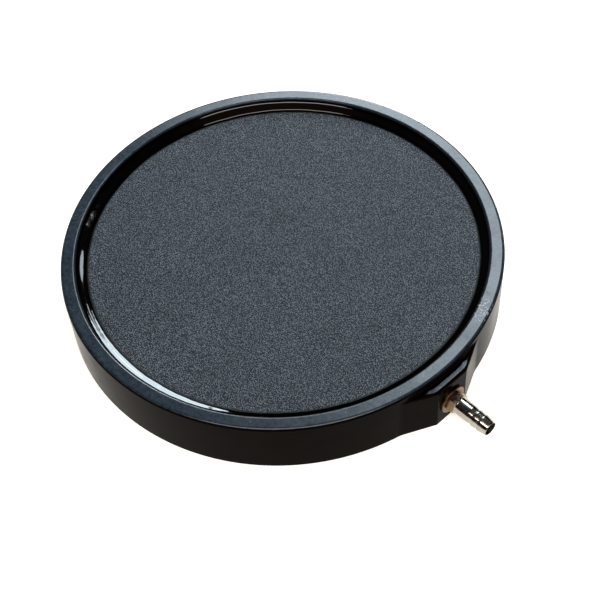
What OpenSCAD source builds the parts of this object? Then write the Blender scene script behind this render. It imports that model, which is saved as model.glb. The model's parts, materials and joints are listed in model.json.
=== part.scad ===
// Round air stone: a moulded tray holds a porous plate that is bonded in with resin, and
// a hose barb screws into a boss on the side of the tray and feeds the chamber under the plate.

/* [Casing] */
// Outside diameter of the tray
casing_d = 200; // [180:1:220]
// Height of the tray from its base to the top of its rim
casing_h = 28.4; // [27.5:0.1:32]
// Width of the flat rim, which is the wall thickness
rim_w = 6.5; // [5.5:0.1:7]
// Thickness of the floor
floor_t = 3; // [2:0.1:4]
// Radius of the outer top edge of the rim
rim_round = 1.5; // [0.5:0.1:2]
// Radius of the inner top edge of the rim
lip_round = 0.9; // [0.2:0.1:1]
// Radius of the bottom edge
base_round = 1; // [0.4:0.1:1.5]

/* [Porous plate] */
// Depth of the plate's top face below the rim
plate_drop = 4.6; // [3:0.1:5]
// Thickness of the plate
plate_t = 8.8; // [7:0.1:8.8]
// Gap between the edge of the plate and the wall
plate_gap = 2; // [1:0.1:3]
// Radius of the plate's top edge
plate_round = 0.5; // [0.2:0.1:1]

/* [Resin] */
// How far the resin on top reaches in from the wall
bead_w = 4.7; // [3:0.1:6]
// How high the resin climbs the wall above the plate
bead_rise = 3.2; // [2:0.1:3.5]
// Thickness of the resin at its inner edge
bead_edge = 0.8; // [0.4:0.05:1]
// Depth that the top resin runs down the gap
bead_depth = 4.5; // [3:0.1:5]
// Thickness of the resin bed under the plate
bed_t = 0.4; // [0.3:0.1:0.8]
// Height of the resin that the plate squeezes up the gap
bed_climb = 2; // [1:0.1:2.5]

/* [Plate supports] */
// Width of the seat that carries the edge of the plate
seat_w = 6.5; // [4:0.1:8]
// Radius of a support peg
peg_r = 3; // [2:0.1:5]
// Number of pegs around the centre peg
peg_count = 6; // [3:1:10]
// Radius of the circle that the pegs stand on
peg_ring_r = 48; // [30:1:65]

/* [Inlet boss] */
// Half the width of the boss's front face
boss_half_w = 8.5; // [8:0.1:12]
// Distance of the boss's front face from the centre of the tray
boss_face_x = 104.5; // [103:0.1:108]
// Height of the boss
boss_h = 24.6; // [21:0.1:25.5]
// Angle between the front face and each flank
boss_flank = 26; // [20:1:32]
// Radius of the boss's edges
boss_round = 1; // [0.5:0.1:1.2]
// Height of the inlet's axis above the base
inlet_z = 11.8; // [10:0.1:12]
// Radius of the air passage between the fitting and the chamber
passage_r = 2; // [1:0.1:2.2]

/* [Threaded insert] */
// Radius of the insert's collar
collar_r = 6.7; // [6.5:0.1:7]
// Thickness of the collar on the boss's face
collar_t = 1; // [0.8:0.1:1.5]
// Radius of the insert's body
insert_r = 6; // [5.6:0.1:6.2]
// Length of the insert's body inside the boss
insert_len = 9; // [8.5:0.1:9.5]
// Radius of the thread at its crests
thread_r = 3.75; // [3.6:0.05:3.75]
// Depth of the thread
thread_depth = 0.45; // [0.3:0.05:0.5]
// Distance between thread crests
thread_pitch = 1; // [0.75:0.05:1.25]

/* [Hose barb] */
// Size of the hexagon across its flats
hex_af = 9; // [8.8:0.1:11]
// Length of the hexagon
hex_len = 3.6; // [3:0.1:6]
// Angle that the hexagon is turned by when tight
hex_turn = 37; // [0:1:59]
// Radius of the hose tail, which its barbs share
tail_r = 4; // [3.8:0.05:4.2]
// Radius at the foot of each barb's taper
tail_root_r = 3.62; // [3.5:0.02:3.7]
// Length of the plain stretch next to the hexagon
tail_plain = 6.3; // [4:0.1:8]
// Distance from one barb to the next
barb_pitch = 3.3; // [2.5:0.1:4]
// Length of the flat on each barb's crest
barb_land = 0.35; // [0.2:0.05:0.6]
// Length of the nose beyond the last barb
nose_len = 4.1; // [3:0.1:6]
// Radius of the nose at its tip
nose_r = 3.35; // [3.2:0.05:3.5]
// Radius of the air bore
bore_r = 2.7; // [2:0.05:2.8]
// Radius of the countersink at the tip
tip_bore_r = 3.1; // [3:0.05:3.1]
// Radius of the sealing ring's cord
ring_cord_r = 0.75; // [0.5:0.05:0.9]

/* [Hidden] */
$fn = 96;

casing_r = casing_d / 2;
wall_r = casing_r - rim_w;
seat_r = wall_r - seat_w;
plate_r = wall_r - plate_gap;
plate_top = casing_h - plate_drop;
plate_base = plate_top - plate_t;
seat_z = plate_base - bed_t;
bead_r = wall_r - bead_w;

collar_front = boss_face_x + collar_t;
insert_back = boss_face_x - insert_len;
shank_back = insert_back + 2 * ring_cord_r;
hex_front = collar_front + hex_len;
plain_end = hex_front + tail_plain;
tip_x = plain_end + 2 * barb_pitch + nose_len;
barb_rise = 0.1;
tip_chamfer = 0.25;
countersink_len = 1.2;
hex_r = hex_af / 2 / cos(30);
groove_count = 2;
groove_w = 1.4;
groove_depth = 0.5;
round_steps = 8;
bead_steps = 14;
cut = 0.5;
facets = 32;

// Points of an arc about a centre, from one angle to another
function arc(x, y, r, from, to) =
    [for (i = [0:round_steps]) let (a = from + (to - from) * i / round_steps)
        [x + r * cos(a), y + r * sin(a)]];

// Height of the resin's hollow surface above the plate at a share of its width
function bead_height(share) = bead_edge + (bead_rise - bead_edge) * pow(share, 1.4);

// Cylinder along X from one station to another
module bar(from, to, r, sides = 96) {
    translate([from, 0, inlet_z])
        rotate([0, 90, 0])
            cylinder(h = to - from, r = r, $fn = sides);
}

// Solid of revolution about the inlet's axis, drawn as [station, radius]
module turned(points) {
    translate([0, 0, inlet_z])
        rotate([0, 90, 0])
            rotate_extrude()
                polygon([for (p = points) [p[1], p[0]]]);
}

// Section of the tray from its axis out to the wall
module tray_section() {
    polygon(concat(
        [[0, 0]],
        arc(casing_r - base_round, base_round, base_round, -90, 0),
        arc(casing_r - rim_round, casing_h - rim_round, rim_round, 0, 90),
        arc(wall_r + lip_round, casing_h - lip_round, lip_round, 90, 180),
        [[wall_r, seat_z], [seat_r, seat_z], [seat_r, floor_t], [0, floor_t]]));
}

// Block on the wall that carries the fitting, with flanks that run out into the wall
module boss() {
    front_x = boss_face_x - boss_round;
    front_y = boss_half_w - boss_round * tan(boss_flank / 2);
    flank_run = 18;
    back_x = front_x - flank_run * sin(boss_flank);
    back_y = front_y + flank_run * cos(boss_flank);
    hull()
        for (side = [-1, 1], z = [boss_round, boss_h - boss_round]) {
            translate([front_x, side * front_y, z])
                sphere(r = boss_round, $fn = facets);
            translate([back_x, side * back_y, z])
                sphere(r = boss_round, $fn = facets);
        }
}

// Outside of the insert: grooves hold it in the plastic that is moulded round it
module insert_blank() {
    difference() {
        bar(insert_back, boss_face_x, insert_r);
        for (i = [1:groove_count])
            insert_groove(insert_back + i * insert_len / (groove_count + 1));
    }
}

module insert_groove(station) {
    difference() {
        bar(station - groove_w / 2, station + groove_w / 2, insert_r + cut);
        bar(station - groove_w, station + groove_w, insert_r - groove_depth);
    }
}

module pegs() {
    translate([0, 0, floor_t - cut])
        cylinder(h = plate_base - floor_t + cut, r = peg_r);
    for (i = [0:peg_count - 1])
        rotate([0, 0, (i + 0.5) * 360 / peg_count])
            translate([peg_ring_r, 0, floor_t - cut])
                cylinder(h = plate_base - floor_t + cut, r = peg_r);
}

module casing() {
    color([0.06, 0.06, 0.07])
        difference() {
            union() {
                rotate_extrude($fn = 360)
                    tray_section();
                boss();
                pegs();
            }
            insert_blank();
            bar(seat_r - cut, insert_back + cut, passage_r);
        }
}

module porous_plate() {
    color([0.36, 0.4, 0.44])
        rotate_extrude($fn = 360)
            polygon(concat(
                [[0, plate_base], [plate_r, plate_base]],
                arc(plate_r - plate_round, plate_top - plate_round, plate_round, 0, 90),
                [[0, plate_top]]));
}

// Resin under the plate's edge, with the ridge that is squeezed up beside it
module bedding_seal() {
    color([0.03, 0.03, 0.03])
        rotate_extrude($fn = 360)
            polygon([
                [seat_r, seat_z],
                [wall_r, seat_z],
                [wall_r, plate_base + bed_climb],
                [plate_r, plate_base + bed_climb * 0.7],
                [plate_r, plate_base],
                [seat_r, plate_base]]);
}

// Resin that fills the gap and lies over the plate's edge with a hollow surface
module surface_seal() {
    color([0.02, 0.02, 0.03])
        difference() {
            rotate_extrude($fn = 360)
                polygon(concat(
                    [[bead_r, plate_top - plate_round], [plate_r - plate_round, plate_top - bead_depth],
                        [wall_r, plate_top - bead_depth]],
                    [for (i = [bead_steps:-1:0])
                        [bead_r + bead_w * i / bead_steps, plate_top + bead_height(i / bead_steps)]]));
            porous_plate();
        }
}

module threaded_insert() {
    edge = 0.2;
    color([0.78, 0.62, 0.34])
        difference() {
            union() {
                insert_blank();
                turned([
                    [boss_face_x, 0],
                    [boss_face_x, collar_r],
                    [collar_front - edge, collar_r],
                    [collar_front, collar_r - edge],
                    [collar_front, 0]]);
            }
            bar(insert_back - cut, collar_front + cut, thread_r);
        }
}

module sealing_ring() {
    color([0.1, 0.1, 0.1])
        translate([insert_back + ring_cord_r, 0, inlet_z])
            rotate([0, 90, 0])
                rotate_extrude()
                    translate([thread_r - ring_cord_r, 0])
                        circle(r = ring_cord_r, $fn = 48);
}

// Threaded shank, with a ring for each turn of the thread
module shank() {
    root_r = thread_r - thread_depth;
    crest_w = thread_pitch / 8;
    turns = floor((collar_front - shank_back) / thread_pitch);
    bar(shank_back, collar_front + cut, root_r);
    for (i = [0:turns - 1]) {
        middle = shank_back + (i + 0.5) * thread_pitch;
        turned([
            [middle - thread_depth, root_r - cut],
            [middle - thread_depth + crest_w / 2, root_r],
            [middle - crest_w / 2, thread_r],
            [middle + crest_w / 2, thread_r],
            [middle + thread_depth - crest_w / 2, root_r],
            [middle + thread_depth, root_r - cut]]);
    }
}

module hexagon() {
    chamfer = 0.5;
    intersection() {
        translate([collar_front, 0, inlet_z])
            rotate([0, 90, 0])
                rotate([0, 0, hex_turn])
                    cylinder(h = hex_len, r = hex_r, $fn = 6);
        turned([
            [collar_front, 0],
            [collar_front, hex_r + cut],
            [hex_front - chamfer, hex_r + 0.1],
            [hex_front, hex_r - chamfer],
            [hex_front, 0]]);
    }
}

// Hose tail: a plain stretch, then barbs that taper towards the tip
module tail() {
    first = plain_end;
    second = plain_end + barb_pitch;
    third = second + barb_pitch;
    turned([
        [hex_front - cut, 0],
        [hex_front - cut, tail_r],
        [first, tail_r],
        [second - barb_land - barb_rise, tail_root_r],
        [second - barb_land, tail_r],
        [second, tail_r],
        [third - barb_land - barb_rise, tail_root_r],
        [third - barb_land, tail_r],
        [third, tail_r],
        [tip_x - tip_chamfer, nose_r],
        [tip_x, nose_r - tip_chamfer / 2],
        [tip_x, 0]]);
}

module hose_barb() {
    color([0.82, 0.81, 0.79])
        difference() {
            union() {
                shank();
                hexagon();
                tail();
            }
            bar(shank_back - cut, tip_x + cut, bore_r);
            turned([
                [tip_x - countersink_len, 0],
                [tip_x - countersink_len, bore_r],
                [tip_x, tip_bore_r],
                [tip_x + cut, tip_bore_r],
                [tip_x + cut, 0]]);
        }
}

casing();
porous_plate();
bedding_seal();
surface_seal();
threaded_insert();
sealing_ring();
hose_barb();
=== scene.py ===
"""Round air stone: a porous plate bonded in a black moulded tray, with a plated hose barb on its side.

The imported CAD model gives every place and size. The tray, plate, resin bead, insert and barb are
rebuilt here as finer meshes on the CAD's own dimensions, and every surface gets a node material.
Lengths are in metres, +Z is up and +X runs out along the inlet.
"""

import json
import math

import bmesh
import bpy
import numpy as np
from mathutils import Matrix, Vector, noise


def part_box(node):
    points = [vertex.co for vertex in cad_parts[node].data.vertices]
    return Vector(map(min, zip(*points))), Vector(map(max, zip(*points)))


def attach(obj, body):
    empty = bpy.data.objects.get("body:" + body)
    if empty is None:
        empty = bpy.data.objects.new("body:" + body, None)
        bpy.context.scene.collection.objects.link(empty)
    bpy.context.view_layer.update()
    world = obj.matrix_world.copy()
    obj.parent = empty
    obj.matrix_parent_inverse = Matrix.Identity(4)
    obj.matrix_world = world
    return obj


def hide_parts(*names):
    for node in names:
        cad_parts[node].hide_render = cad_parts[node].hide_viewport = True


MM = 0.001

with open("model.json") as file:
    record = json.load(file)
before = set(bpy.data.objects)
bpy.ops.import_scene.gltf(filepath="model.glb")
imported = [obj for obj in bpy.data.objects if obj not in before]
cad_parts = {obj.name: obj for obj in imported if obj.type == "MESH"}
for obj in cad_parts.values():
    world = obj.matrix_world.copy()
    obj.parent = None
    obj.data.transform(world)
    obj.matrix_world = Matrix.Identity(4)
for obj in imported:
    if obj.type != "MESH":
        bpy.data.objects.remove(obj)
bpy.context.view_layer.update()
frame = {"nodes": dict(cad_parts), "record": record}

# Sizes that the CAD nodes give
casing_low, casing_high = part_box("casing")
plate_low, plate_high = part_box("porous_plate")
seal_low, seal_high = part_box("surface_seal")
bed_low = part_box("bedding_seal")[0]
insert_low, insert_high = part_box("threaded_insert")
barb_low, barb_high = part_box("hose_barb")

TRAY_R = -casing_low.x
TRAY_H = casing_high.z
BOSS_FACE = casing_high.x
WALL_R = seal_high.y
PLATE_R = plate_high.y
PLATE_TOP = plate_high.z
PLATE_BASE = plate_low.z
SEAT_Z = bed_low.z
INLET_Z = (insert_low.z + insert_high.z) / 2
COLLAR_R = (insert_high.z - insert_low.z) / 2
COLLAR_FRONT = insert_high.x
INSERT_BACK = insert_low.x
SHANK_BACK = barb_low.x
TIP_X = barb_high.x
TAIL = next(m for m in frame["record"]["mounts"] if m["name"] == "hose_tail")
TAIL_R = TAIL["dims"]["r_mm"] * MM

# Sizes of the moulding and the turned parts that no box gives
SEAT_R = 87.0 * MM
FLOOR_T = 3.0 * MM
RIM_ROUND = 1.5 * MM
LIP_ROUND = 0.9 * MM
BASE_ROUND = 1.0 * MM
BOSS_H = 24.6 * MM
BOSS_HALF_W = 8.5 * MM
BOSS_FLANK = math.radians(26)
PEG_R = 3.0 * MM
PEG_RING_R = 48.0 * MM
PEG_COUNT = 6
PASSAGE_R = 2.0 * MM
INSERT_R = 6.0 * MM
THREAD_R = 3.75 * MM
THREAD_DEPTH = 0.45 * MM
THREAD_PITCH = 1.0 * MM
HEX_R = 4.5 * MM / math.cos(math.radians(30))
HEX_LEN = 3.6 * MM
HEX_TURN = math.radians(37 - 90)
TAIL_PLAIN = 6.3 * MM
BARB_PITCH = 3.3 * MM
BARB_ROOT_R = 3.62 * MM
BARB_LAND = 0.35 * MM
NOSE_R = 3.35 * MM
BORE_R = 2.7 * MM
TIP_BORE_R = 3.1 * MM

# The photograph's camera, as seen from the middle of the tray's rim
FOCAL = 1300 / 600 * 36
VIEW_TURN = math.radians(50.1)
VIEW_RISE = math.radians(51.797)
VIEW_ROLL = math.radians(-4.504)
VIEW_DISTANCE = 586.2 * MM
VIEW_RIGHT = -8.41 * MM
VIEW_UP = 26.12 * MM


def turned_about_z(v, angle):
    return Matrix.Rotation(angle, 3, "Z") @ Vector(v)


BACK = turned_about_z((0, -math.cos(VIEW_RISE), math.sin(VIEW_RISE)), VIEW_TURN)
RIGHT = turned_about_z((1, 0, 0), VIEW_TURN)
UP = BACK.cross(RIGHT)
RIM_CENTRE = Vector((0, 0, TRAY_H))


def make_camera():
    data = bpy.data.cameras.new("camera")
    data.lens = FOCAL
    data.sensor_width = 36
    data.clip_start = 0.01
    data.clip_end = 50
    camera = bpy.data.objects.new("camera", data)
    bpy.context.scene.collection.objects.link(camera)
    across = RIGHT * math.cos(VIEW_ROLL) + UP * math.sin(VIEW_ROLL)
    upward = UP * math.cos(VIEW_ROLL) - RIGHT * math.sin(VIEW_ROLL)
    place = RIM_CENTRE + BACK * VIEW_DISTANCE - across * VIEW_RIGHT - upward * VIEW_UP
    camera.matrix_world = Matrix.Translation(place) @ Matrix((across, upward, BACK)).transposed().to_4x4()
    bpy.context.scene.camera = camera


# ---------------------------------------------------------------- mesh helpers

def smooth_max(a, b, k):
    h = np.maximum(k - np.abs(a - b), 0) / k
    return np.maximum(a, b) + h * h * k / 4


def smooth_min(a, b, k):
    return -smooth_max(-a, -b, k)


def ease(a, b, x):
    """0 below a, 1 above b, smooth between."""
    t = np.clip((x - a) / (b - a), 0, 1)
    return t * t * (3 - 2 * t)


def link_mesh(name, points, faces, sharp_angle=40):
    mesh = bpy.data.meshes.new(name)
    mesh.from_pydata(points, [], faces)
    bm = bmesh.new()
    bm.from_mesh(mesh)
    bmesh.ops.recalc_face_normals(bm, faces=bm.faces)
    bm.to_mesh(mesh)
    bm.free()
    mesh.shade_smooth()
    mesh.set_sharp_from_angle(angle=math.radians(sharp_angle))
    piece = bpy.data.objects.new(name, mesh)
    bpy.context.scene.collection.objects.link(piece)
    return piece


def loft(name, rings, closed=True, tips=(False, False), sharp_angle=40):
    """Mesh through rings of points, an array of (ring, point, xyz). closed joins the last ring to the
    first; tips closes the first or last ring to its middle."""
    rings = np.asarray(rings, float)
    count, size = rings.shape[:2]
    points = rings.reshape(-1, 3).tolist()
    j = np.arange(size)
    k = (j + 1) % size
    faces = []
    for i in range(count if closed else count - 1):
        a, b = i * size, (i + 1) % count * size
        faces += np.stack([a + j, a + k, b + k, b + j], 1).tolist()
    for ring, wanted in ((0, tips[0]), (count - 1, tips[1])):
        if wanted:
            points.append(rings[ring].mean(0).tolist())
            middle = len(points) - 1
            faces += [[ring * size + int(p), ring * size + int(q), middle] for p, q in zip(j, k)]
    return link_mesh(name, points, faces, sharp_angle)


def ring_about_z(angles, radii, heights):
    """Ring of points round the tray's axis."""
    heights = heights * np.ones_like(angles)
    return np.stack([radii * np.cos(angles), radii * np.sin(angles), heights], 1)


def arc(x, y, r, start, stop, steps):
    """Points of an arc in a section, angles in degrees."""
    angles = np.radians(np.linspace(start, stop, steps + 1))
    return [(x + r * math.cos(a), y + r * math.sin(a)) for a in angles]


def paint(piece, *materials):
    piece.data.materials.clear()
    for material in materials:
        piece.data.materials.append(material)


def cut_or_join(piece, tool, operation):
    """Boolean of two closed meshes. The tool object is used up."""
    change = piece.modifiers.new("boolean", "BOOLEAN")
    change.operation = operation
    change.solver = "EXACT"
    change.object = tool
    graph = bpy.context.evaluated_depsgraph_get()
    made = bpy.data.meshes.new_from_object(piece.evaluated_get(graph))
    piece.modifiers.clear()
    old = piece.data
    piece.data = made
    bpy.data.meshes.remove(old)
    bpy.data.objects.remove(tool)


# ---------------------------------------------------------------- tray

# Places of the tray's materials in its list
RIM_FACE = 0
WALL_FACE = 1
INNER_FACE = 2
# Distance from a rounding to the row that keeps the flat beside it flat
HOLD = 0.12 * MM


def tray_angles():
    near_boss = np.arange(-20, 20, 0.125)
    round_the_rest = np.arange(20, 340, 0.5)
    return np.radians(np.concatenate([near_boss, round_the_rest]))


def tray_outline(angles):
    """Distance of the outer wall from the axis: a circle that the boss stands out of."""
    corner_blend = 0.12 * MM
    wall_blend = 0.35 * MM
    turn = np.abs((angles + math.pi) % (2 * math.pi) - math.pi)
    front = BOSS_FACE / np.maximum(np.cos(turn), 0.5)
    reach = BOSS_FACE * math.cos(BOSS_FLANK) + BOSS_HALF_W * math.sin(BOSS_FLANK)
    flank = reach / np.cos(np.minimum(turn, BOSS_FLANK) - BOSS_FLANK)
    boss = smooth_min(front, flank, corner_blend)
    return smooth_max(boss, np.full_like(boss, TRAY_R), wall_blend)


def tray_rows(angles):
    """Rows of the tray's section, from the middle of its underside, round the outside and down the
    inside to the middle of its floor. Each row is (radii, heights, material)."""
    outline = tray_outline(angles)
    return underside_rows(outline) + wall_rows(outline) + ledge_rows(outline) + rim_rows() + inside_rows()


def underside_rows(outline):
    rows = [(r, 0, INNER_FACE) for r in (3 * MM, 30 * MM, 60 * MM, 85 * MM, 94 * MM)]
    rows.append((outline - BASE_ROUND - HOLD, 0, INNER_FACE))
    return rows


def wall_rows(outline):
    """The rounded bottom edge and the wall, up to the boss's ledge."""
    heights = (BASE_ROUND + HOLD, 4 * MM, 8 * MM, 12 * MM, 16 * MM, 20 * MM, 22.5 * MM)
    rows = [(outline - BASE_ROUND + x, z, WALL_FACE) for x, z in arc(0, BASE_ROUND, BASE_ROUND, -90, 0, 7)]
    rows += [(outline, z, WALL_FACE) for z in heights]
    return rows


def ledge_rows(outline):
    """The boss's rounded top edge, its ledge and the corner where the ledge meets the wall. Away from
    the boss the same rows lie on the plain wall."""
    edge_steps, corner_steps = 6, 4
    stands_out = outline - TRAY_R
    flat = 1.7 * MM * ease(3.2 * MM, 4.2 * MM, stands_out)
    edge = (stands_out - flat) * 0.42
    corner = (stands_out - flat) * 0.57
    places = []
    for a in np.linspace(0, math.pi / 2, edge_steps + 1):
        places.append((outline - edge * (1 - math.cos(a)), BOSS_H - edge * (1 - math.sin(a))))
    for a in np.linspace(0, math.pi / 2, corner_steps + 1):
        places.append((TRAY_R + corner * (1 - math.sin(a)), BOSS_H + corner * (1 - math.cos(a))))
    plain = np.linspace(BOSS_H - 1.5 * MM, BOSS_H + 0.7 * MM, len(places))
    share = ease(0, 1.2 * MM, stands_out)
    faces = [WALL_FACE] * len(places)
    # Only a ledge that stands well out keeps the rim's material; narrower ledges take the darker wall copy,
    # as painted shade
    faces[edge_steps] = np.where(stands_out > 3 * MM, RIM_FACE, WALL_FACE)
    return [(r, z * share + z_plain * (1 - share), face)
        for (r, z), z_plain, face in zip(places, plain, faces)]


def rim_rows():
    """The top of the wall, the rim's outer rounding, the flat rim and its inner lip."""
    crown = TRAY_H - RIM_ROUND
    round_steps = 12
    rows = [(TRAY_R, z, WALL_FACE) for z in (BOSS_H + 1.2 * MM, crown - HOLD)]
    for i, (x, z) in enumerate(arc(TRAY_R - RIM_ROUND, crown, RIM_ROUND, 0, 90, round_steps)):
        # The lower half of the rounding takes the darker wall copy, as painted shade
        rows.append((x, z, WALL_FACE if i < round_steps / 2 else RIM_FACE))
    lip = WALL_R + LIP_ROUND
    for r in (TRAY_R - RIM_ROUND - HOLD, 97.5 * MM, 96 * MM, 95 * MM, lip + HOLD):
        rows.append((r, TRAY_H, RIM_FACE))
    for x, z in arc(lip, TRAY_H - LIP_ROUND, LIP_ROUND, 90, 180, 7):
        rows.append((x, z, RIM_FACE))
    return rows


def inside_rows():
    """The inner wall, the plate's seat and the chamber's wall and floor."""
    heights = (TRAY_H - LIP_ROUND - HOLD, 27 * MM, 25.5 * MM, 23 * MM, 19 * MM, SEAT_Z + HOLD, SEAT_Z)
    rows = [(WALL_R, z, INNER_FACE) for z in heights]
    rows.append((SEAT_R, SEAT_Z, INNER_FACE))
    rows += [(r, FLOOR_T, INNER_FACE) for r in (SEAT_R, 60 * MM, 30 * MM, 3 * MM)]
    return rows


def make_tray(rim, wall, inside):
    angles = tray_angles()
    rows = tray_rows(angles)
    rings = [ring_about_z(angles, radii, heights) for radii, heights, _ in rows]
    tray = loft("tray_moulding", rings, closed=False, tips=(True, True))
    paint(tray, rim, wall, inside)
    strips = np.concatenate([face * np.ones(len(angles), int) for _, _, face in rows[:-1]])
    indices = np.full(len(tray.data.polygons), INNER_FACE)
    indices[:len(strips)] = strips
    tray.data.polygons.foreach_set("material_index", indices.astype(np.int32))
    cut_or_join(tray, inlet_hole(), "DIFFERENCE")
    for x, y in peg_places():
        cut_or_join(tray, peg(x, y), "UNION")
    return tray


def inlet_hole():
    section = [(SEAT_R - 2 * MM, PASSAGE_R), (INSERT_BACK, PASSAGE_R), (INSERT_BACK, INSERT_R),
        (BOSS_FACE + 1 * MM, INSERT_R)]
    return turned_piece("inlet_hole", section, tips=(True, True))


def peg_places():
    places = [(0.0, 0.0)]
    for i in range(PEG_COUNT):
        a = (i + 0.5) * 2 * math.pi / PEG_COUNT
        places.append((PEG_RING_R * math.cos(a), PEG_RING_R * math.sin(a)))
    return places


def peg(x, y):
    angles = np.linspace(0, 2 * math.pi, 48, endpoint=False)
    rings = [ring_about_z(angles, PEG_R, z) + (x, y, 0) for z in (FLOOR_T - 1 * MM, PLATE_BASE)]
    return loft("peg", rings, closed=False, tips=(True, True))


# ---------------------------------------------------------------- turned parts

def turned_piece(name, section, closed=False, tips=(False, False), steps=192, start=0.0, sharp_angle=40):
    """Revolves (station, radius) pairs about the inlet's axis. A radius may be an array, one value per
    angle, or a function of the angles."""
    a = start + np.linspace(0, 2 * math.pi, steps, endpoint=False)
    rings = []
    for x, r in section:
        radii = r(a - start) if callable(r) else r * np.ones_like(a)
        rings.append(np.stack([x * np.ones_like(a), radii * np.cos(a), INLET_Z + radii * np.sin(a)], 1))
    return loft(name, rings, closed=closed, tips=tips, sharp_angle=sharp_angle)


def make_insert(brass):
    """Brass insert: a collar on the boss's face and a grooved, finely knurled body in the plastic."""
    edge = 0.22 * MM
    groove, groove_w = 0.5 * MM, 1.4 * MM
    knurl_teeth, knurl_depth = 32, 0.14 * MM
    length = BOSS_FACE - INSERT_BACK

    def knurled(a):
        return INSERT_R - 0.02 * MM - knurl_depth * (0.5 - 0.5 * np.cos(a * knurl_teeth))

    def smooth(r):
        return lambda a: np.full_like(a, r)

    section = [(INSERT_BACK, smooth(THREAD_R)), (INSERT_BACK, smooth(INSERT_R - 0.4 * MM)),
        (INSERT_BACK + 0.3 * MM, knurled)]
    for i in (1, 2):
        middle = INSERT_BACK + i * length / 3
        for offset, r in ((-0.5, knurled), (-0.5, smooth(INSERT_R - groove)),
                (0.5, smooth(INSERT_R - groove)), (0.5, knurled)):
            section.append((middle + offset * groove_w, r))
    section.append((BOSS_FACE - 0.02 * MM, knurled))
    section.append((BOSS_FACE, smooth(COLLAR_R - 0.05 * MM)))
    for x, r in arc(COLLAR_FRONT - edge, COLLAR_R - edge, edge, 90, 0, 6):
        section.append((x, smooth(r)))
    section.append((COLLAR_FRONT, smooth(COLLAR_R - 0.6 * MM)))
    section.append((COLLAR_FRONT, smooth(THREAD_R + 0.3 * MM)))
    section.append((COLLAR_FRONT - 0.3 * MM, smooth(THREAD_R)))
    insert = turned_piece("brass_insert", section, closed=True, steps=256)
    paint(insert, brass)
    return insert


def hex_radius(a):
    """Outline of the hexagon, from a corner at angle 0, with its corners just broken."""
    flat = HEX_R * math.cos(math.radians(30))
    to_flat = a % math.radians(60) - math.radians(30)
    return np.minimum(flat / np.cos(to_flat), HEX_R - 0.06 * MM)


def thread_rows():
    """Rows of the helical thread on the shank."""
    rows = []
    root = THREAD_R - THREAD_DEPTH
    run_out = 0.8 * MM
    stations = np.linspace(SHANK_BACK + 0.35 * MM, COLLAR_FRONT - 0.1 * MM, 96)
    for x in stations:
        fade = ease(0, run_out, x - stations[0]) * ease(0, run_out, stations[-1] - x)

        def radius(a, x=x, fade=fade):
            phase = (x / THREAD_PITCH - a / (2 * math.pi)) % 1
            crest = np.clip(1.15 - np.abs(phase - 0.5) * 2.6, 0, 1)
            return root + THREAD_DEPTH * crest * fade

        rows.append((x, radius))
    return rows


def hex_rows(hex_front):
    """The hexagon, its corners broken at the back and chamfered at the front."""
    back_break = 0.15 * MM
    chamfer = 0.55 * MM
    chamfer_steps = 8

    def hex_at(depth):
        return lambda a: np.minimum(hex_radius(a), HEX_R - depth)

    rows = [(COLLAR_FRONT, hex_at(0.9 * MM)), (COLLAR_FRONT + back_break, hex_at(0.35 * MM)),
        (COLLAR_FRONT + 3 * back_break, hex_at(0))]
    for x in np.linspace(COLLAR_FRONT + 4 * back_break, hex_front - chamfer, 5):
        rows.append((x, hex_at(0)))
    for share in np.arange(1, chamfer_steps + 1) / chamfer_steps:
        rows.append((hex_front - chamfer * (1 - share), hex_at(1.25 * chamfer * share)))
    return rows


def make_barb(plating, bore, hex_skin):
    """Plated fitting: threaded shank, hexagon, and a hose tail whose barbs taper to the tip."""
    root = THREAD_R - THREAD_DEPTH
    hex_front = COLLAR_FRONT + HEX_LEN
    neck = 0.3 * MM
    section = [(SHANK_BACK, BORE_R + 0.1 * MM), (SHANK_BACK, root - 0.3 * MM),
        (SHANK_BACK + 0.3 * MM, root)]
    section += thread_rows()
    section.append((COLLAR_FRONT, root))
    section += hex_rows(hex_front)
    section.append((hex_front, TAIL_R + neck + 0.05 * MM))
    section += arc(hex_front + neck, TAIL_R + neck, neck, 180, 270, 5)
    section += tail_rows(hex_front)
    first_bore_row = len(section)
    section += bore_rows()
    barb = turned_piece("plated_barb", section, closed=True, start=HEX_TURN, sharp_angle=35)
    paint(barb, plating, bore, hex_skin)
    steps = len(barb.data.polygons) // len(section)
    stations = np.repeat([x for x, _ in section], steps)
    faces = np.where((stations >= COLLAR_FRONT) & (stations < hex_front), 2, 0).astype(np.int32)
    faces[first_bore_row * steps:] = 1
    barb.data.polygons.foreach_set("material_index", faces)
    return barb


def tail_rows(hex_front):
    """The hose tail: a plain length, two barbs and a tapered nose."""
    barb_count = 2
    rise = 0.12 * MM
    broken = 0.03 * MM
    first = hex_front + TAIL_PLAIN
    rows = [(hex_front + 1 * MM, TAIL_R), (first - 1.5 * MM, TAIL_R), (first - 0.3 * MM, TAIL_R)]
    for i in range(barb_count):
        rows += crest_to_root(first + i * BARB_PITCH)
        land = first + (i + 1) * BARB_PITCH - BARB_LAND
        rows += [(land - rise, BARB_ROOT_R), (land - rise * 0.3, TAIL_R - broken), (land, TAIL_R)]
    crest = first + barb_count * BARB_PITCH
    nose_end = TIP_X - 0.25 * MM
    rows += [(crest, TAIL_R), (crest + 0.25 * MM, TAIL_R - broken)]
    for share in (0.35, 0.7):
        rows.append((crest + (nose_end - crest) * share, TAIL_R - (TAIL_R - NOSE_R) * share))
    rows += [(nose_end, NOSE_R), (TIP_X - 0.08 * MM, NOSE_R - 0.05 * MM), (TIP_X, NOSE_R - 0.14 * MM)]
    return rows


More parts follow.
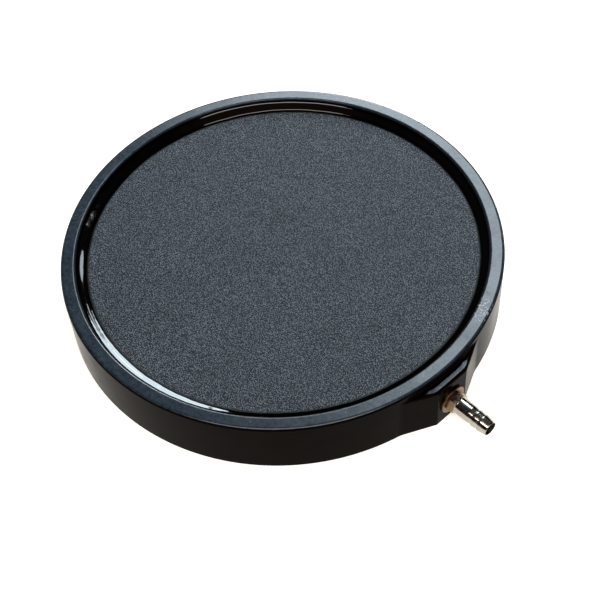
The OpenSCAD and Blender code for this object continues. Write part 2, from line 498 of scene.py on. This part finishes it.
def crest_to_root(crest):
    """The taper from a barb's crest down to its foot, rounded at the crest."""
    end = crest + BARB_PITCH - BARB_LAND - 0.2 * MM
    drop = TAIL_R - BARB_ROOT_R
    rows = [(crest, TAIL_R)]
    for share in (0.08, 0.2, 0.45, 0.7, 1.0):
        rows.append((crest + (end - crest) * share, TAIL_R - drop * share ** 1.15))
    return rows


def bore_rows():
    countersink = 1.2 * MM
    return [(TIP_X, TIP_BORE_R), (TIP_X - countersink, BORE_R), (TIP_X - 3 * MM, BORE_R),
        ((TIP_X + SHANK_BACK) / 2, BORE_R), (SHANK_BACK + 0.1 * MM, BORE_R)]


# ---------------------------------------------------------------- plate and resin

BEAD_INNER = 88.85 * MM
BEAD_SHIFT = 0.48 * MM
BEAD_SHOULDER = 1.8 * MM
BEAD_CLIMB = 2.5 * MM
BEAD_SLOPE = math.radians(25)
BEAD_START = math.radians(78)
BEAD_END = math.radians(64)
# Gentlest slope of the bead in degrees at angles round the tray, counted from the right of the photograph
BEAD_DIPS = ((0, 24.5), (174, 24.5), (179, 18), (184, 17), (188, 20), (192, 21), (197, 18), (204, 17.5),
    (212, 18), (222, 17), (238, 16), (247, 17.5), (252, 21), (257, 24.5), (360, 24.5))


def bead_inner_edge(angles):
    """The resin's inner edge: poured by hand, so it wanders and sits a little off centre."""
    edge = []
    for a in angles:
        p = Vector((math.cos(a), math.sin(a), 0))
        slow = noise.noise(p * 2.2 + Vector((3.1, 0, 0))) * 0.28 * MM
        quick = noise.noise(p * 9.0 + Vector((0, 7.7, 0))) * 0.22 * MM
        fine = noise.noise(p * 30.0 + Vector((0, 0, 4.3))) * 0.08 * MM
        edge.append(BEAD_INNER + BEAD_SHIFT * math.cos(a - VIEW_TURN) + slow + quick + fine)
    return np.array(edge)


def bead_section(width, dip):
    """Section of the resin from its inner edge to the wall: a round shoulder, a slope that dips to its
    gentlest in the middle, and a climb up the wall. Takes the bead's width and gentlest slope at every
    angle, returns steps across and up."""
    across, up = [np.zeros_like(width)], [np.zeros_like(width)]
    steps = 9

    def turn(r, start, stop):
        x, z = across[-1], up[-1]
        for share in np.linspace(0, 1, steps)[1:]:
            a = start + (stop - start) * share
            across.append(x + r * np.abs(np.sin(a) - np.sin(start)))
            up.append(z + r * np.abs(np.cos(a) - np.cos(start)))

    climb = BEAD_CLIMB * (math.sin(BEAD_END) - math.sin(BEAD_SLOPE))
    turn(BEAD_SHOULDER, BEAD_START, BEAD_SLOPE)
    room = width - across[-1] - climb
    r = room / 2 / (math.sin(BEAD_SLOPE) - np.sin(dip))
    turn(r, BEAD_SLOPE, dip)
    turn(r, dip, BEAD_SLOPE)
    turn(BEAD_CLIMB, BEAD_SLOPE, BEAD_END)
    return across, up


def bead_dip(angles):
    """The slope of the bead's middle: gentlest on one side, where the resin was scraped flatter."""
    turns = [angle for angle, _ in BEAD_DIPS]
    slopes = [slope for _, slope in BEAD_DIPS]
    drift = np.array([noise.noise(Vector((math.cos(a) * 2.5, math.sin(a) * 2.5, 6.0))) for a in angles])
    slope = np.interp(np.degrees(angles - VIEW_TURN) % 360, turns, slopes)
    return np.radians(np.clip(smoothed(slope) + 0.8 * drift, 5, 24.5))


def smoothed(values):
    """Values round a circle, each averaged with its neighbours."""
    reach = 6
    return sum(np.roll(values, shift) for shift in range(-reach, reach + 1)) / (2 * reach + 1)


def make_bead(resin):
    angles = np.linspace(0, 2 * math.pi, 1080, endpoint=False)
    inner = bead_inner_edge(angles)
    outer = WALL_R - 0.01 * MM
    plate_side = PLATE_R + 0.05 * MM
    under = PLATE_TOP - 0.3 * MM
    wobble_depth = 0.05 * MM
    hidden = ((outer, seal_low.z), (plate_side, seal_low.z), (plate_side, under), (inner + 0.1 * MM, under))
    rings = [ring_about_z(angles, radii, height) for radii, height in hidden]
    width = outer - inner
    across, up = bead_section(width, bead_dip(angles))
    for x, z in zip(across, up):
        share = x / width
        wobble = np.array([noise.noise(Vector((math.cos(a) * 4, math.sin(a) * 4, q * 0.6)))
            for a, q in zip(angles, share)])
        heights = PLATE_TOP + z + wobble * wobble_depth * np.sin(math.pi * share)
        rings.append(ring_about_z(angles, inner + x, heights))
    bead = loft("resin_bead", rings, sharp_angle=60)
    paint(bead, resin)
    return bead


def grain(x, y):
    """Height of the plate's rough face: packed grains with small pits between them."""
    p = Vector((x, y, 0))
    coarse = noise.noise(p / (1.6 * MM)) * 0.015
    fine = noise.noise(p / (0.55 * MM) + Vector((5, 9, 2))) * 0.09
    return (coarse + fine) * MM


def make_plate(stone):
    """Porous plate: a fine triangulated disc whose top is rough, closed by its edge and underside."""
    spacing = 0.62 * MM
    ring_count = int(round(PLATE_R / spacing))
    points = [shaped_point(0.0, 0.0)]
    first = [1]
    for i in range(1, ring_count + 1):
        points += [shaped_point(x, y) for x, y in circle_points(PLATE_R * i / ring_count, 6 * i)]
        first.append(len(points))
    faces = disc_triangles(ring_count, first)
    close_below(points, faces, 6 * ring_count)
    plate = link_mesh("stone_plate", points, faces, sharp_angle=75)
    paint(plate, stone)
    return plate


def circle_points(r, count):
    angles = [2 * math.pi * j / count for j in range(count)]
    return [(r * math.cos(a), r * math.sin(a)) for a in angles]


def close_below(points, faces, size):
    """Adds the plate's edge and underside to a disc whose outer ring is its last size points."""
    outer = len(points) - size
    for r, z in ((PLATE_R, PLATE_TOP - 0.9 * MM), (PLATE_R, PLATE_BASE), (PLATE_R * 0.6, PLATE_BASE),
            (PLATE_R * 0.05, PLATE_BASE)):
        ring = len(points)
        points += [(x, y, z) for x, y in circle_points(r, size)]
        for j in range(size):
            k = (j + 1) % size
            faces.append((outer + j, outer + k, ring + k, ring + j))
        outer = ring
    points.append((0, 0, PLATE_BASE))
    for j in range(size):
        faces.append((outer + j, outer + (j + 1) % size, len(points) - 1))


def shaped_point(x, y):
    """A point of the plate's top: rough where it is open, lower under the resin, rounded at the edge."""
    r = math.hypot(x, y)
    under_resin = float(ease(BEAD_INNER + 0.7 * MM, BEAD_INNER + 1.4 * MM, r))
    edge_drop = 0.5 * MM * float(ease(PLATE_R - 0.7 * MM, PLATE_R, r))
    z = PLATE_TOP + grain(x, y) * (1 - under_resin) - 0.4 * MM * under_resin - edge_drop
    return (x, y, z)


def disc_triangles(ring_count, first):
    """Triangles between rings of 6, 12, 18... points round a middle point."""
    faces = [(0, 1 + j, 1 + (j + 1) % 6) for j in range(6)]
    for i in range(2, ring_count + 1):
        inner_size, outer_size = 6 * (i - 1), 6 * i
        inner, outer = first[i - 2], first[i - 1]
        for side in range(6):
            for step in range(i):
                o = outer + side * i + step
                o_next = outer + (side * i + step + 1) % outer_size
                n = inner + (side * (i - 1) + step) % inner_size
                faces.append((o, o_next, n))
                if step < i - 1:
                    n_next = inner + (side * (i - 1) + step + 1) % inner_size
                    faces.append((n, o_next, n_next))
    return faces


# ---------------------------------------------------------------- materials

# The worn place on the rim
SCUFF_R = 96.8 * MM
SCUFF_TURN = math.radians(21)
SCUFF_REACH = 8 * MM


def new_material(name, **settings):
    """Material with one Principled shader. Settings are constants on its sockets."""
    material = bpy.data.materials.new(name)
    material.use_nodes = True
    shader = material.node_tree.nodes["Principled BSDF"]
    for socket, value in settings.items():
        shader.inputs[socket.replace("_", " ")].default_value = value
    return material, material.node_tree.nodes, material.node_tree.links, shader


def coordinates(nodes):
    return nodes.new("ShaderNodeTexCoord").outputs["Object"]


def noise_node(nodes, links, where, size, detail=3.0, roughness=0.5):
    """Noise whose features are about size metres across."""
    node = nodes.new("ShaderNodeTexNoise")
    node.inputs["Scale"].default_value = 1 / size
    node.inputs["Detail"].default_value = detail
    node.inputs["Roughness"].default_value = roughness
    links.new(where, node.inputs["Vector"])
    return node.outputs["Fac"]


def ramp(nodes, links, factor, *stops):
    """Colour ramp through (position, colour) stops."""
    node = nodes.new("ShaderNodeValToRGB")
    elements = node.color_ramp.elements
    while len(elements) < len(stops):
        elements.new(0.5)
    for element, (position, colour) in zip(elements, stops):
        element.position = position
        element.color = (*colour, 1)
    links.new(factor, node.inputs["Fac"])
    return node.outputs["Color"]


def span(nodes, links, value, low, high, from_low=0.0, from_high=1.0):
    node = nodes.new("ShaderNodeMapRange")
    node.inputs["From Min"].default_value = from_low
    node.inputs["From Max"].default_value = from_high
    node.inputs["To Min"].default_value = low
    node.inputs["To Max"].default_value = high
    links.new(value, node.inputs["Value"])
    return node.outputs["Result"]


def math_node(nodes, links, operation, a, b):
    node = nodes.new("ShaderNodeMath")
    node.operation = operation
    for socket, value in zip(node.inputs, (a, b)):
        if isinstance(value, (int, float)):
            socket.default_value = value
        else:
            links.new(value, socket)
    return node.outputs[0]


def bump(nodes, links, shader, height, depth, strength=1.0, below=None):
    node = nodes.new("ShaderNodeBump")
    node.inputs["Strength"].default_value = strength
    node.inputs["Distance"].default_value = depth
    links.new(height, node.inputs["Height"])
    if below is not None:
        links.new(below, node.inputs["Normal"])
    links.new(node.outputs["Normal"], shader.inputs["Normal"])
    return node.outputs["Normal"]


def scratch_mask(nodes, links, where, turn, length, width, limit):
    """Thin broken scratches that run one way: 1 on a scratch and 0 off it."""
    mapping = nodes.new("ShaderNodeMapping")
    mapping.inputs["Rotation"].default_value = (0, 0, turn)
    mapping.inputs["Scale"].default_value = (1 / length, 1 / width, 1 / width)
    links.new(where, mapping.inputs["Vector"])
    field = nodes.new("ShaderNodeTexNoise")
    field.inputs["Scale"].default_value = 1
    field.inputs["Detail"].default_value = 2
    links.new(mapping.outputs["Vector"], field.inputs["Vector"])
    return span(nodes, links, field.outputs["Fac"], 0, 1, limit, limit + 0.03)


def vector_node(nodes, links, operation, where, other):
    """A number from two vectors: their DISTANCE or their DOT_PRODUCT."""
    node = nodes.new("ShaderNodeVectorMath")
    node.operation = operation
    links.new(where, node.inputs[0])
    node.inputs[1].default_value = other
    return node.outputs["Value"]


def near_place(nodes, links, where, radius, turn, reach):
    """1 at a place on the part's top, given by radius and angle, fading to 0 at reach from it."""
    place = (radius * math.cos(turn), radius * math.sin(turn), TRAY_H)
    away = vector_node(nodes, links, "DISTANCE", where, place)
    return span(nodes, links, away, 1, 0, reach * 0.4, reach)


def mix_colour(nodes, links, factor, colour, other):
    node = nodes.new("ShaderNodeMix")
    node.data_type = "RGBA"
    links.new(factor, node.inputs["Factor"])
    links.new(colour, node.inputs["A"])
    node.inputs["B"].default_value = (*other, 1)
    return node.outputs["Result"]


def rim_plastic():
    material, nodes, links, shader = new_material("rim_plastic", Specular_IOR_Level=0.5)
    where = coordinates(nodes)
    cloud = noise_node(nodes, links, where, 14 * MM, 4)
    fine = noise_node(nodes, links, where, 0.9 * MM, 3)
    dust = noise_node(nodes, links, where, 2.2 * MM, 5, 0.7)
    colour = ramp(nodes, links, dust, (0.35, (0.010, 0.017, 0.027)), (0.70, (0.036, 0.050, 0.066)))
    marks = span(nodes, links, noise_node(nodes, links, where, 0.8 * MM, 2), 0, 1, 0.55, 0.62)
    scuffed = near_place(nodes, links, where, SCUFF_R, SCUFF_TURN, SCUFF_REACH)
    worn = math_node(nodes, links, "MULTIPLY", marks, scuffed)
    grit = span(nodes, links, noise_node(nodes, links, where, 0.6 * MM, 1), 0, 0.6, 0.76, 0.80)
    pale = math_node(nodes, links, "MAXIMUM", worn, grit)
    colour = mix_colour(nodes, links, pale, colour, (0.42, 0.43, 0.45))
    links.new(colour, shader.inputs["Base Color"])
    scratches = math_node(nodes, links, "ADD",
        scratch_mask(nodes, links, where, 0.5, 9 * MM, 0.16 * MM, 0.70),
        scratch_mask(nodes, links, where, 2.1, 6 * MM, 0.14 * MM, 0.72))
    rough = math_node(nodes, links, "ADD", span(nodes, links, cloud, 0.16, 0.28, 0.3, 0.7),
        math_node(nodes, links, "MULTIPLY", scratches, 0.2))
    links.new(rough, shader.inputs["Roughness"])
    wave = bump(nodes, links, shader, cloud, 0.15 * MM, 0.5)
    skin = bump(nodes, links, shader, fine, 0.022 * MM, 0.6, wave)
    bump(nodes, links, shader, math_node(nodes, links, "MULTIPLY", scratches, -1), 0.02 * MM, 0.6, skin)
    return material


# The rim's own plastic, given a far darker, warm colour and almost no reflection so that the outer wall
# reads as shaded: painted shade, with a painted brown reflection in the warm colour and specular tint
def wall_plastic_painted_shade():
    material, nodes, links, shader = new_material("wall_plastic_painted_shade", Specular_IOR_Level=0.015,
        Specular_Tint=(1.0, 0.86, 0.72, 1))
    where = coordinates(nodes)
    cloud = noise_node(nodes, links, where, 9 * MM, 4)
    fine = noise_node(nodes, links, where, 0.7 * MM, 3)
    colour = ramp(nodes, links, cloud, (0.3, (0.0016, 0.0008, 0.0004)), (0.7, (0.0026, 0.0014, 0.0008)))
    links.new(colour, shader.inputs["Base Color"])
    links.new(span(nodes, links, cloud, 0.14, 0.24, 0.3, 0.7), shader.inputs["Roughness"])
    wave = bump(nodes, links, shader, cloud, 0.10 * MM, 0.4)
    bump(nodes, links, shader, fine, 0.012 * MM, 0.5, wave)
    return material


def inner_plastic():
    """The underside and the inside: same plastic, with the mould's fine texture."""
    material, nodes, links, shader = new_material("inner_plastic", Specular_IOR_Level=0.15)
    where = coordinates(nodes)
    texture = noise_node(nodes, links, where, 0.5 * MM, 4, 0.6)
    cloud = noise_node(nodes, links, where, 25 * MM, 3)
    colour = ramp(nodes, links, cloud, (0.3, (0.0035, 0.0032, 0.0032)), (0.7, (0.0065, 0.0062, 0.0062)))
    links.new(colour, shader.inputs["Base Color"])
    links.new(span(nodes, links, texture, 0.38, 0.55, 0.3, 0.7), shader.inputs["Roughness"])
    bump(nodes, links, shader, texture, 0.03 * MM, 0.6)
    return material


def black_resin():
    material, nodes, links, shader = new_material("black_resin", Specular_IOR_Level=0.5)
    where = coordinates(nodes)
    swirl = noise_node(nodes, links, where, 7 * MM, 3)
    dust = noise_node(nodes, links, where, 1.1 * MM, 4)
    colour = ramp(nodes, links, swirl, (0.3, (0.0003, 0.0003, 0.0003)), (0.7, (0.0010, 0.0008, 0.0006)))
    links.new(colour, shader.inputs["Base Color"])
    links.new(span(nodes, links, dust, 0.035, 0.075, 0.35, 0.7), shader.inputs["Roughness"])
    bump(nodes, links, shader, swirl, 0.08 * MM, 0.5)
    return material


def stone_grains(nodes, links, where):
    """Domes and tones of the plate's grains, and the fine speckle on them. The domes also give painted
    shading: lighter grain tops and darker pores.
    """
    grains = nodes.new("ShaderNodeTexVoronoi")
    grains.voronoi_dimensions = "2D"
    grains.inputs["Scale"].default_value = 1 / (0.54 * MM)
    grains.inputs["Randomness"].default_value = 1.0
    links.new(where, grains.inputs["Vector"])
    tone = nodes.new("ShaderNodeSeparateColor")
    links.new(grains.outputs["Color"], tone.inputs["Color"])
    speckle = noise_node(nodes, links, where, 0.21 * MM, 0)
    # Painted shading: 1 at a grain's middle and 0 at its edge, used as colour as well as relief
    dome_height_and_shade = span(nodes, links, grains.outputs["Distance"], 1, 0, 0.05, 0.75)
    return dome_height_and_shade, tone.outputs[0], speckle


def porous_stone():
    """Bonded mineral grains: each grain has its own tone and a few pale flecks. The domes add painted
    shading: lighter grain tops and darker pores between grains. A ring of painted shade darkens the stone
    just inside the resin's edge, where the gap under the resin is in shadow."""
    material, nodes, links, shader = new_material("porous_stone", Specular_IOR_Level=0.4, Roughness=0.65)
    where = coordinates(nodes)
    dome_height_and_shade, tone, speckle = stone_grains(nodes, links, where)
    patches = noise_node(nodes, links, where, 22 * MM, 3)
    mixed = span(nodes, links, patches, -0.012, 0.012, 0.3, 0.7)
    # The domes add painted shade to the colour, light on grain tops and dark in the pores; the speckle and
    # tone are the grains' own colour
    for layer, weight in ((dome_height_and_shade, 0.42), (speckle, 0.45), (tone, 0.20)):
        mixed = math_node(nodes, links, "ADD", mixed, math_node(nodes, links, "MULTIPLY", layer, weight))
    strong = span(nodes, links, mixed, -0.48, 1.48, 0.315, 0.815)
    colour = ramp(nodes, links, strong, (0.16, (0.0008, 0.002, 0.004)), (0.50, (0.0135, 0.0225, 0.034)),
        (0.76, (0.056, 0.078, 0.104)), (0.98, (0.24, 0.275, 0.315)))
    # Painted shade: a near-black ring on the stone just inside the resin's edge, standing in for the
    # shadowed gap under the resin
    middle = turned_about_z((BEAD_SHIFT, 0, PLATE_TOP), VIEW_TURN)
    away = vector_node(nodes, links, "DISTANCE", where, middle)
    painted_gap_shade = span(nodes, links, away, 0, 0.9, BEAD_INNER - 0.9 * MM, BEAD_INNER - 0.3 * MM)
    colour = mix_colour(nodes, links, painted_gap_shade, colour, (0.002, 0.002, 0.002))
    links.new(colour, shader.inputs["Base Color"])
    relief = math_node(nodes, links, "ADD", dome_height_and_shade, math_node(nodes, links, "MULTIPLY", speckle, 0.8))
    bump(nodes, links, shader, relief, 0.16 * MM, 0.6)
    return material


def nickel_plate():
    material, nodes, links, shader = new_material("nickel_plate", Metallic=1.0)
    where = coordinates(nodes)
    cloud = noise_node(nodes, links, where, 2.5 * MM, 4)
    colour = ramp(nodes, links, cloud, (0.3, (0.36, 0.335, 0.295)), (0.7, (0.47, 0.44, 0.395)))
    links.new(colour, shader.inputs["Base Color"])
    links.new(span(nodes, links, cloud, 0.12, 0.26, 0.3, 0.7), shader.inputs["Roughness"])
    turning = lathe_marks(nodes, links, where, 0.16 * MM)
    ripple = bump(nodes, links, shader, cloud, 0.03 * MM, 0.5)
    bump(nodes, links, shader, turning, 0.004 * MM, 0.5, ripple)
    return material


def hex_bronze():
    """The hexagon's flats, where the plating is thin and the brass shows through."""
    material, nodes, links, shader = new_material("hex_bronze", Metallic=1.0)
    where = coordinates(nodes)
    cloud = noise_node(nodes, links, where, 2.2 * MM, 4)
    colour = ramp(nodes, links, cloud, (0.3, (0.17, 0.115, 0.065)), (0.7, (0.30, 0.22, 0.145)))
    links.new(colour, shader.inputs["Base Color"])
    links.new(span(nodes, links, cloud, 0.2, 0.34, 0.3, 0.7), shader.inputs["Roughness"])
    bump(nodes, links, shader, cloud, 0.04 * MM, 0.5)
    return material


def bore_metal_painted_dark():
    """Drilled bore: dull, rough metal painted near black, as painted shade inside the hole."""
    material, nodes, links, shader = new_material("bore_metal_painted_dark", Metallic=1.0)
    where = coordinates(nodes)
    mottle = noise_node(nodes, links, where, 0.8 * MM, 4)
    # Painted shade: the bore's colour is kept near black, mottled by the noise
    colour = ramp(nodes, links, mottle, (0.3, (0.020, 0.017, 0.014)), (0.7, (0.06, 0.05, 0.04)))
    links.new(colour, shader.inputs["Base Color"])
    links.new(span(nodes, links, mottle, 0.45, 0.65, 0.3, 0.7), shader.inputs["Roughness"])
    bump(nodes, links, shader, lathe_marks(nodes, links, where, 0.2 * MM), 0.01 * MM, 0.6)
    return material


def lathe_marks(nodes, links, where, pitch):
    """Fine turning marks, ring after ring along the inlet's axis."""
    wave = nodes.new("ShaderNodeTexWave")
    wave.wave_type = "BANDS"
    wave.bands_direction = "X"
    wave.inputs["Scale"].default_value = 1 / pitch / 20
    wave.inputs["Distortion"].default_value = 0.6
    links.new(where, wave.inputs["Vector"])
    return wave.outputs["Fac"]


def insert_brass():
    material, nodes, links, shader = new_material("insert_brass", Metallic=1.0)
    where = coordinates(nodes)
    cloud = noise_node(nodes, links, where, 2.0 * MM, 4)
    colour = ramp(nodes, links, cloud, (0.3, (0.11, 0.062, 0.026)), (0.7, (0.19, 0.12, 0.06)))
    links.new(colour, shader.inputs["Base Color"])
    links.new(span(nodes, links, cloud, 0.2, 0.36, 0.3, 0.7), shader.inputs["Roughness"])
    bump(nodes, links, shader, lathe_marks(nodes, links, where, 0.12 * MM), 0.006 * MM, 0.5)
    return material


def ring_rubber():
    material, nodes, links, shader = new_material("ring_rubber", Specular_IOR_Level=0.3)
    where = coordinates(nodes)
    skin = noise_node(nodes, links, where, 0.4 * MM, 3)
    colour = ramp(nodes, links, skin, (0.3, (0.012, 0.012, 0.012)), (0.7, (0.03, 0.03, 0.03)))
    links.new(colour, shader.inputs["Base Color"])
    links.new(span(nodes, links, skin, 0.5, 0.7, 0.3, 0.7), shader.inputs["Roughness"])
    bump(nodes, links, shader, skin, 0.01 * MM, 0.6)
    return material


# ---------------------------------------------------------------- stage

def make_floor():
    """Pale paper. It stops where the tray stands on it, so that the underside can be seen."""
    middle_reach = 0.3
    floor_reach = 12.0
    angles = tray_angles()
    edges = (floor_reach, middle_reach, tray_outline(angles) - BASE_ROUND)
    floor = loft("floor", [ring_about_z(angles, radii, 0) for radii in edges], closed=False)
    paint(floor, floor_paper())


def floor_paper():
    """Paper that glows a little, so that the tray throws hardly any shadow. It is clear from beneath."""
    material, nodes, links, shader = new_material("floor_paper", Roughness=0.9, Specular_IOR_Level=0.1)
    where = coordinates(nodes)
    tone = noise_node(nodes, links, where, 0.8, 2)
    colour = ramp(nodes, links, tone, (0.3, (0.90, 0.885, 0.86)), (0.7, (0.93, 0.915, 0.89)))
    links.new(colour, shader.inputs["Base Color"])
    shader.inputs["Emission Color"].default_value = (1.0, 0.96, 0.90, 1)
    brighter_side = turned_about_z((0.8, 0.6, 0), VIEW_TURN)
    side = vector_node(nodes, links, "DOT_PRODUCT", where, brighter_side)
    away = vector_node(nodes, links, "DISTANCE", where, (0, 0, 0))
    glow = math_node(nodes, links, "MAXIMUM", span(nodes, links, side, 0.79, 1.6, 0.02, 0.22),
        span(nodes, links, away, 0.79, 1.1, 0.25, 0.5))
    links.new(glow, shader.inputs["Emission Strength"])
    beneath = nodes.new("ShaderNodeNewGeometry").outputs["Backfacing"]
    clear = nodes.new("ShaderNodeBsdfTransparent").outputs["BSDF"]
    one_sided = nodes.new("ShaderNodeMixShader")
    for socket, source in zip(one_sided.inputs, (beneath, shader.outputs["BSDF"], clear)):
        links.new(source, socket)
    links.new(one_sided.outputs["Shader"], nodes["Material Output"].inputs["Surface"])
    return material


def panel_light(name, place, aim, up_hint, size, radiance, colour):
    """Rectangular soft light at a place, turned to a point, its second side along up_hint."""
    data = bpy.data.lights.new(name, "AREA")
    data.shape = "RECTANGLE"
    data.size, data.size_y = size
    data.energy = radiance * math.pi * size[0] * size[1]
    data.color = colour
    light = bpy.data.objects.new(name, data)
    bpy.context.scene.collection.objects.link(light)
    facing = (aim - place).normalized()
    side = facing.cross(up_hint).normalized()
    top = side.cross(facing)
    light.matrix_world = Matrix.Translation(place) @ Matrix((side, top, -facing)).transposed().to_4x4()


def window_pane(name, middle, across, upward, edges, radiance):
    """Pane of the window. Its near, far, low and high edges are measured from the window's middle."""
    sky = (0.80, 0.92, 1.0)
    near, far, low, high = edges
    place = middle + across * (near + far) / 2 + upward * (low + high) / 2
    aim = place + RIM_CENTRE - middle
    panel_light(name, place, aim, upward, (far - near, high - low), radiance, sky)


def make_lights():
    """Two panes of a window behind the object, the upper one slanted, and a warm strip above the camera."""
    window_distance = 1.2
    strip_distance = 1.3
    slant = math.radians(36)
    facing = turned_about_z(Vector((0.04, 0.65, 0.76)).normalized(), VIEW_TURN)
    middle = RIM_CENTRE + facing * window_distance
    right = turned_about_z((1, 0, 0), VIEW_TURN)
    over = right.cross(facing)
    across = (right * math.cos(slant) - over * math.sin(slant)).normalized()
    upward = (right * math.sin(slant) + over * math.cos(slant)).normalized()
    window_pane("upper_pane", middle, across, upward, (-0.052, 0.34, -0.28, 0.42), 8.4)
    window_pane("lower_pane", middle, right, over, (0.0, 0.34, -0.80, -0.34), 15.0)
    strip = turned_about_z(Vector((-0.02, -0.50, 0.86)).normalized(), VIEW_TURN)
    place = RIM_CENTRE + strip * strip_distance
    panel_light("warm_strip", place, RIM_CENTRE, right.cross(strip), (1.3, 0.30), 8.0, (1.0, 0.94, 0.88))


def make_world():
    """A dark room with a pale blue glow on the far side, a brown ceiling overhead and pale paper below."""
    world = bpy.data.worlds.new("room")
    bpy.context.scene.world = world
    world.use_nodes = True
    nodes, links = world.node_tree.nodes, world.node_tree.links
    background = nodes["Background"]
    direction = nodes.new("ShaderNodeTexCoord").outputs["Generated"]
    glow = sky_patch(nodes, links, direction, (-0.12, 0.56, 0.83),
        (0.72, (0.006, 0.004, 0.003)), (0.92, (0.03, 0.027, 0.026)), (0.98, (0.13, 0.19, 0.27)))
    ceiling = sky_patch(nodes, links, direction, (0.0, -0.2, 0.98),
        (0.90, (0.0, 0.0, 0.0)), (0.98, (0.085, 0.050, 0.032)))
    below = sky_patch(nodes, links, direction, (0.0, 0.0, -1.0),
        (0.0, (0.0, 0.0, 0.0)), (0.06, (0.80, 0.78, 0.75)))
    room = add_colours(nodes, links, glow, ceiling)
    links.new(add_colours(nodes, links, room, below), background.inputs["Color"])
    background.inputs["Strength"].default_value = 1.0


def add_colours(nodes, links, first, second):
    both = nodes.new("ShaderNodeVectorMath")
    links.new(first, both.inputs[0])
    links.new(second, both.inputs[1])
    return both.outputs["Vector"]


def sky_patch(nodes, links, direction, middle, *stops):
    """Colour of the room round one direction, through (closeness, colour) stops."""
    middle = turned_about_z(Vector(middle).normalized(), VIEW_TURN)
    return ramp(nodes, links, vector_node(nodes, links, "DOT_PRODUCT", direction, middle), *stops)


# ---------------------------------------------------------------- assembly

def dress(piece, node):
    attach(piece, "root")
    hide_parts(node)


bpy.context.scene.view_settings.view_transform = "Standard"
make_camera()
make_world()
make_lights()
make_floor()

resin = black_resin()
stone = porous_stone()
dress(make_tray(rim_plastic(), wall_plastic_painted_shade(), inner_plastic()), "casing")
dress(make_plate(stone), "porous_plate")
dress(make_bead(resin), "surface_seal")
dress(make_insert(insert_brass()), "threaded_insert")
dress(make_barb(nickel_plate(), bore_metal_painted_dark(), hex_bronze()), "hose_barb")
paint(frame["nodes"]["bedding_seal"], resin)
paint(frame["nodes"]["sealing_ring"], ring_rubber())
